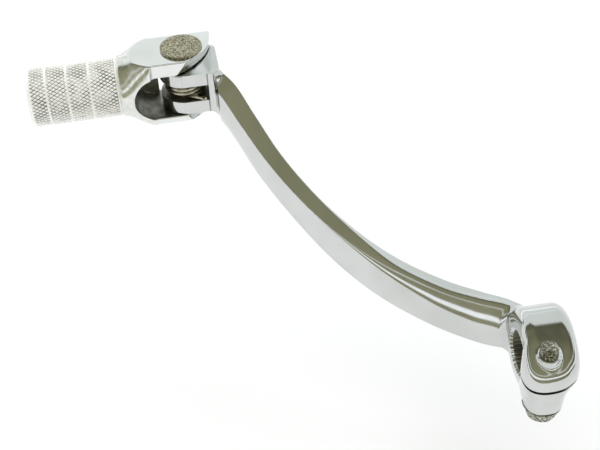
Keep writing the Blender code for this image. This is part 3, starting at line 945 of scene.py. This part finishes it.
def spread(tree, value, low, high, from_low=0.3, from_high=0.7):
    """Carry a pattern's values over to the range from low to high."""
    node = tree.nodes.new("ShaderNodeMapRange")
    node.inputs["From Min"].default_value = from_low
    node.inputs["From Max"].default_value = from_high
    node.inputs["To Min"].default_value = low
    node.inputs["To Max"].default_value = high
    tree.links.new(value, node.inputs["Value"])
    return node.outputs["Result"]


def coloured(tree, value, stops):
    """Colours for a pattern's values, from (position, colour) pairs."""
    node = tree.nodes.new("ShaderNodeValToRGB")
    elements = node.color_ramp.elements
    while len(elements) < len(stops):
        elements.new(0.5)
    for element, (position, colour) in zip(elements, stops):
        element.position = position
        element.color = (*colour, 1)
    tree.links.new(value, node.inputs["Fac"])
    return node.outputs["Color"]


def bumped(tree, *layers):
    """Join height patterns, each with its height in millimetres, into one bump on the shader."""
    normal = None
    for height, size in layers:
        node = tree.nodes.new("ShaderNodeBump")
        node.inputs["Distance"].default_value = size * MM
        tree.links.new(height, node.inputs["Height"])
        if normal is not None:
            tree.links.new(normal, node.inputs["Normal"])
        normal = node.outputs["Normal"]
    tree.links.new(normal, tree.nodes["Principled BSDF"].inputs["Normal"])


def dress(tree, colour, roughness):
    """Put a colour and a roughness on the shader."""
    shader = tree.nodes["Principled BSDF"]
    tree.links.new(colour, shader.inputs["Base Color"])
    tree.links.new(roughness, shader.inputs["Roughness"])


def polished_aluminium():
    """Mirror-polished forging, a little wavy, with fine hairline scratches and duller patches of wear."""
    material, tree = new_material("polished_aluminium", 1.0)
    cloud = pattern(tree, 70)
    colour = coloured(tree, cloud, ((0.35, (0.57, 0.585, 0.57)), (0.65, (0.64, 0.655, 0.65))))
    hairlines = pattern(tree, 900, 2, (0.15, 1, 0.3))
    dress(tree, colour, spread(tree, pattern(tree, 260, 6), 0.05, 0.13))
    bumped(tree, (pattern(tree, 110, 1), 0.035), (hairlines, 0.006))
    return material


def turned_aluminium():
    """Bright machined head: polished, with the lathe's fine marks."""
    material, tree = new_material("turned_aluminium", 1.0)
    colour = coloured(tree, pattern(tree, 90), ((0.35, (0.75, 0.765, 0.75)), (0.65, (0.81, 0.825, 0.82))))
    marks = pattern(tree, 1500, 2, (0.04, 1, 0.04))
    dress(tree, colour, spread(tree, pattern(tree, 400, 5), 0.07, 0.16))
    bumped(tree, (pattern(tree, 130, 1), 0.02), (marks, 0.006))
    return material


def satin_aluminium():
    """Turned nose: a little duller than the milled faces, with rings round the peg's axis."""
    material, tree = new_material("satin_aluminium", 1.0)
    colour = coloured(tree, pattern(tree, 900, 4), ((0.35, (0.70, 0.71, 0.68)), (0.65, (0.79, 0.80, 0.78))))
    dress(tree, colour, spread(tree, pattern(tree, 700, 4), 0.14, 0.24))
    bumped(tree, (pattern(tree, 1500, 2, (0.04, 1, 0.04)), 0.006), (pattern(tree, 2200, 3), 0.005))
    return material


def knurled_aluminium():
    """Bright, rougher aluminium, with painted shade where the peg's own attribute says that the knurl is
    deep.
    """
    material, tree = new_material("knurled_aluminium", 0.3)
    # Painted shade: the peg's attribute for the knurl's depth, varied a little by noise, takes the colour
    # from near white on the diamonds to near black in the valleys.
    knurl_shade = tree.nodes.new("ShaderNodeAttribute")
    knurl_shade.attribute_name = "knurl_shade"
    valley_shade = tree.nodes.new("ShaderNodeMath")
    valley_shade.operation = "MULTIPLY"
    tree.links.new(knurl_shade.outputs["Fac"], valley_shade.inputs[0])
    tree.links.new(spread(tree, pattern(tree, 300, 3), 0.75, 1.25), valley_shade.inputs[1])
    colour = coloured(tree, valley_shade.outputs[0], ((0.50, (0.98, 0.98, 0.98)), (0.70, (0.68, 0.68, 0.66)),
                                              (1.00, (0.08, 0.08, 0.06))))
    dress(tree, colour, spread(tree, pattern(tree, 500, 3), 0.22, 0.38))
    bumped(tree, (pattern(tree, 1500, 2), 0.01))
    return material


def broached_and_shaded_aluminium():
    """Dull inside faces: the bore, the slit, the spring's window and the tip's slot, unpolished and darkened
    with painted shade.
    """
    material, tree = new_material("broached_and_shaded_aluminium", 1.0)
    # Part finish, part painted shade: the dark colour stands for the duller metal and for the shade deep in
    # these hollows.
    colour = coloured(tree, pattern(tree, 300, 4), ((0.35, (0.20, 0.20, 0.17)), (0.7, (0.42, 0.42, 0.38))))
    dress(tree, colour, spread(tree, pattern(tree, 500, 4), 0.30, 0.50))
    bumped(tree, (pattern(tree, 1500, 3, (1, 0.1, 1)), 0.02))
    return material


def rivet_steel():
    """Blackened steel head, speckled brown and grey, and pitted."""
    material, tree = new_material("rivet_steel", 1.0)
    specks = pattern(tree, 2300, 3)
    colour = coloured(tree, specks, ((0.38, (0.12, 0.105, 0.065)), (0.5, (0.36, 0.335, 0.225)),
                                     (0.62, (0.64, 0.62, 0.49))))
    dress(tree, colour, spread(tree, pattern(tree, 900, 4), 0.30, 0.55))
    bumped(tree, (specks, 0.03), (pattern(tree, 250, 2), 0.12))
    return material


def spring_steel():
    """Bronze-grey drawn wire."""
    material, tree = new_material("spring_steel", 1.0)
    colour = coloured(tree, pattern(tree, 500, 3), ((0.35, (0.40, 0.37, 0.29)), (0.65, (0.66, 0.64, 0.56))))
    dress(tree, colour, spread(tree, pattern(tree, 1500, 3), 0.14, 0.30))
    bumped(tree, (pattern(tree, 2500, 2, (1, 1, 0.2)), 0.01))
    return material


def bolt_steel():
    """Dark plated bolt, speckled, with bright wear."""
    material, tree = new_material("bolt_steel", 1.0)
    specks = pattern(tree, 1700, 4)
    colour = coloured(tree, specks, ((0.40, (0.10, 0.10, 0.07)), (0.52, (0.27, 0.26, 0.21)),
                                     (0.66, (0.66, 0.66, 0.61))))
    dress(tree, colour, spread(tree, pattern(tree, 800, 4), 0.24, 0.45))
    bumped(tree, (specks, 0.05))
    return material


def recolour(item, material, inside):
    """Give the faces whose middles are inside a region another material."""
    item.data.materials.append(material)
    middles = np.array([polygon.center for polygon in item.data.polygons]) / MM
    indices = np.empty(len(middles), np.int32)
    item.data.polygons.foreach_get("material_index", indices)
    indices[inside(middles)] = len(item.data.materials) - 1
    item.data.polygons.foreach_set("material_index", indices)


CAMERA_AZIMUTH = radians(262.28)
CAMERA_ELEVATION = radians(42.94)
CAMERA_ROLL = radians(-2.885)
CAMERA_PLACE = Vector((-211.75, 90.76, 256.90)) * MM
CAMERA_LENS = 75.09
SENSOR_WIDTH = 36

# The floor: how far it lies under the lever, how far it reaches toward the camera, and its other half sizes.
FLOOR_DROP = 25
FLOOR_REACH = 200
FLOOR_SIZE = 1500
FLOOR_COLOUR = (0.90, 0.90, 0.94)

# The soft light, in metres and watts.
LIGHT_PLACE = (0.04, 0.04, 1.2)
LIGHT_SIZE = 2.4
LIGHT_ENERGY = 22

# The studio's dim side: where it faces, the range of facing that its tones cover, how much noise wobbles its
# edge, and its tones from the bright sweep (0) to its middle (1).
ROOM_AZIMUTH = radians(252)
ROOM_ELEVATION = radians(16)
ROOM_FACING = (-0.85, 1.15)
ROOM_NOISE_SCALE = 3.0
ROOM_NOISE = 0.3
ROOM_TONES = (
    (0.46, (0.92, 0.96, 0.94)),
    (0.50, (0.13, 0.125, 0.085)),
    (0.57, (0.16, 0.155, 0.10)),
    (0.66, (0.27, 0.265, 0.165)),
    (1.00, (0.35, 0.34, 0.225)),
)

# Long low windows in the dim side: lowest and highest elevation, and strength.
WINDOWS = ((radians(2), radians(11), 1.0), (radians(24), radians(29), 0.5))
WINDOW_COLOUR = (1.3, 1.32, 1.35)
WINDOW_SOFTNESS = 0.02


def toward(azimuth, elevation):
    """The direction from the lever to a place at an azimuth and an elevation."""
    return Vector((sin(azimuth) * cos(elevation), -cos(azimuth) * cos(elevation), sin(elevation)))


def camera_axes():
    """The camera's right, up and backward directions."""
    back = toward(CAMERA_AZIMUTH, CAMERA_ELEVATION)
    level = Vector((cos(CAMERA_AZIMUTH), sin(CAMERA_AZIMUTH), 0))
    right = level * cos(CAMERA_ROLL) + back.cross(level) * sin(CAMERA_ROLL)
    return right, back.cross(right), back


def make_camera():
    """The camera at the photograph's viewing angle."""
    data = bpy.data.cameras.new("camera")
    data.lens = CAMERA_LENS
    data.sensor_width = SENSOR_WIDTH
    data.clip_start = 0.01
    data.clip_end = 20
    camera = bpy.data.objects.new("camera", data)
    bpy.context.scene.collection.objects.link(camera)
    turn = Matrix(camera_axes()).transposed()
    camera.matrix_world = Matrix.Translation(CAMERA_PLACE) @ turn.to_4x4()
    bpy.context.scene.camera = camera


def make_floor():
    """A large pale floor, a little below the lever."""
    z = CAD_BOX[0].z / MM - FLOOR_DROP
    near, size = -FLOOR_REACH, FLOOR_SIZE
    corners = [(near, -size, z), (size, -size, z), (size, size, z), (near, size, z)]
    floor = new_mesh_object("floor", corners, [(0, 1, 2, 3)])
    material = bpy.data.materials.new("floor")
    material.use_nodes = True
    shader = material.node_tree.nodes["Principled BSDF"]
    shader.inputs["Base Color"].default_value = (*FLOOR_COLOUR, 1)
    shader.inputs["Roughness"].default_value = 0.9
    floor.data.materials.append(material)


def make_light():
    """A soft overhead light that doesn't show in the metal."""
    data = bpy.data.lights.new("soft", "AREA")
    data.size = LIGHT_SIZE
    data.energy = LIGHT_ENERGY
    light = bpy.data.objects.new("soft", data)
    light.location = LIGHT_PLACE
    light.visible_glossy = False
    bpy.context.scene.collection.objects.link(light)


def window_bands(tree, place):
    """How much of a window each direction sees: 0 away from them, with soft edges."""
    split = tree.nodes.new("ShaderNodeSeparateXYZ")
    tree.links.new(place.outputs["Generated"], split.inputs["Vector"])
    height, soft = split.outputs["Z"], WINDOW_SOFTNESS
    total = None
    for low, high, strength in WINDOWS:
        band = tree.nodes.new("ShaderNodeMath")
        band.operation = "MULTIPLY_ADD"
        band.inputs[2].default_value = 0
        tree.links.new(spread(tree, height, 0, strength, sin(low) - soft, sin(low) + soft), band.inputs[0])
        tree.links.new(spread(tree, height, 1, 0, sin(high) - soft, sin(high) + soft), band.inputs[1])
        if total is not None:
            tree.links.new(total, band.inputs[2])
        total = band.outputs[0]
    return total


def room_tones(tree, place):
    """The bright sweep and the dim room, with an uneven edge between them."""
    noise = tree.nodes.new("ShaderNodeTexNoise")
    noise.inputs["Scale"].default_value = ROOM_NOISE_SCALE
    noise.inputs["Detail"].default_value = 3
    tree.links.new(place.outputs["Generated"], noise.inputs["Vector"])
    facing = tree.nodes.new("ShaderNodeVectorMath")
    facing.operation = "DOT_PRODUCT"
    facing.inputs[1].default_value = toward(ROOM_AZIMUTH, ROOM_ELEVATION)
    tree.links.new(place.outputs["Generated"], facing.inputs[0])
    wobble = tree.nodes.new("ShaderNodeMath")
    wobble.operation = "MULTIPLY_ADD"
    wobble.inputs[1].default_value = ROOM_NOISE
    tree.links.new(noise.outputs["Fac"], wobble.inputs[0])
    tree.links.new(facing.outputs["Value"], wobble.inputs[2])
    return coloured(tree, spread(tree, wobble.outputs[0], 0, 1, *ROOM_FACING), ROOM_TONES)


def blended(tree, factor, first, colour):
    """A mix of a colour from the tree with a fixed one."""
    mix = tree.nodes.new("ShaderNodeMix")
    mix.data_type = "RGBA"
    mix.inputs["B"].default_value = (*colour, 1)
    tree.links.new(factor, mix.inputs["Factor"])
    tree.links.new(first, mix.inputs["A"])
    return mix.outputs["Result"]


def make_world():
    """A white sweep behind the lever, and a dim room with windows on the camera's side of it."""
    world = bpy.data.worlds.new("studio")
    bpy.context.scene.world = world
    world.use_nodes = True
    tree = world.node_tree
    place = tree.nodes.new("ShaderNodeTexCoord")
    room = blended(tree, window_bands(tree, place), room_tones(tree, place), WINDOW_COLOUR)
    path = tree.nodes.new("ShaderNodeLightPath")
    backdrop = blended(tree, path.outputs["Is Camera Ray"], room, (1, 1, 1))
    tree.links.new(backdrop, tree.nodes["Background"].inputs["Color"])
    bpy.context.scene.view_settings.view_transform = "Standard"


make_camera()
make_floor()
make_light()
make_world()
make_lever()
make_toe_head()
make_peg()
make_pin()
make_spring()
make_bolt()
